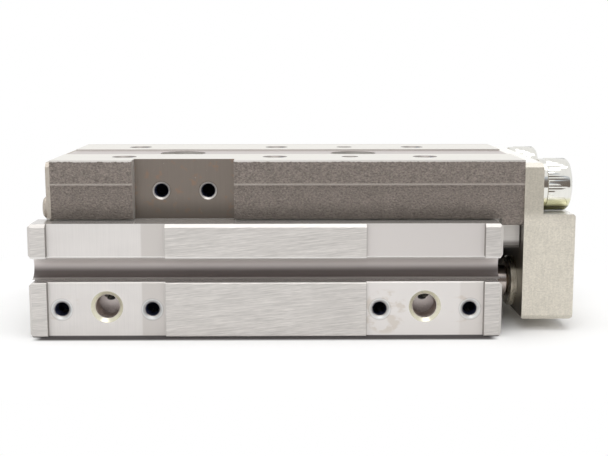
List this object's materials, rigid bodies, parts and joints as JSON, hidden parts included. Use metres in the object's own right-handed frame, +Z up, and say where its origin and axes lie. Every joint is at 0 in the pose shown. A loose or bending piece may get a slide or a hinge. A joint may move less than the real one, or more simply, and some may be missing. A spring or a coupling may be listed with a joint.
{
  "type": "pneumatic slide table",
  "caption": "Compact air slide table: a low aluminium cylinder body, a forged steel table on crossed rollers above it, and an end plate pushed by the piston rods.",
  "frame": {"origin": "on the body's bottom face, midway between its two mounting holes, which is also the middle of the body", "axes": "+X is the direction in which the table extends, towards the end plate; +Z is up, out of the table's top; the air ports in use are on the -Y side"},
  "size_m": [0.101, 0.05, 0.0319],
  "materials": {
    "body_alloy": "hard anodised aluminium, brushed sides with finely milled pads",
    "table_steel": "stainless steel, as-forged flanks with ground mounting strips",
    "plate_alloy": "matte champagne anodised aluminium",
    "guide_steel": "hardened and ground steel",
    "plated_steel": "bright zinc or nickel plated steel",
    "rod_steel": "ground and hard chromed steel",
    "seal_rubber": "black nitrile rubber",
    "piston_alloy": "chromate-treated aluminium",
    "magnet": "sintered ring magnet",
    "cage_brass": "pressed brass strip"
  },
  "bodies": {
    "housing": {"body": "body_alloy", "guide_block": "guide_steel", "guide_block_screws": "plated_steel", "guide_end_stops": "guide_steel", "end_stop_screws": "plated_steel", "left_head_cap": "piston_alloy", "right_head_cap": "piston_alloy", "head_cap_o_rings": "seal_rubber", "rear_bumpers": "seal_rubber", "left_rod_cover": "piston_alloy", "right_rod_cover": "piston_alloy", "rod_cover_o_rings": "seal_rubber", "rod_seals": "seal_rubber", "front_bumpers": "seal_rubber", "retaining_rings": "guide_steel", "port_plugs": "plated_steel"},
    "slide": {"table": "table_steel", "end_plate": "plate_alloy", "end_plate_screws": "plated_steel", "end_cover": "guide_steel", "end_cover_screws": "plated_steel", "left_piston": "piston_alloy", "right_piston": "piston_alloy", "left_piston_rod": "rod_steel", "right_piston_rod": "rod_steel", "piston_seals": "seal_rubber", "piston_magnets": "magnet", "left_floating_bushing": "guide_steel", "right_floating_bushing": "guide_steel", "rod_end_washers": "guide_steel", "rod_end_screws": "plated_steel"},
    "left_cage": {"left_roller_cage": "cage_brass", "left_rollers": "rod_steel"},
    "right_cage": {"right_roller_cage": "cage_brass", "right_rollers": "rod_steel"}
  },
  "joints": [
    {"name": "table_travel", "type": "slide", "parent": "housing", "child": "slide", "axis": [1, 0, 0], "range_m": [0, 0.04]},
    {"name": "left_cage_travel", "type": "slide", "parent": "housing", "child": "left_cage", "axis": [1, 0, 0], "range_m": [0, 0.02]},
    {"name": "right_cage_travel", "type": "slide", "parent": "housing", "child": "right_cage", "axis": [1, 0, 0], "range_m": [0, 0.02]}
  ],
  "couplings": [
    {"joint": "left_cage_travel", "follows": "table_travel", "ratio": 0.5},
    {"joint": "right_cage_travel", "follows": "table_travel", "ratio": 0.5}
  ]
}
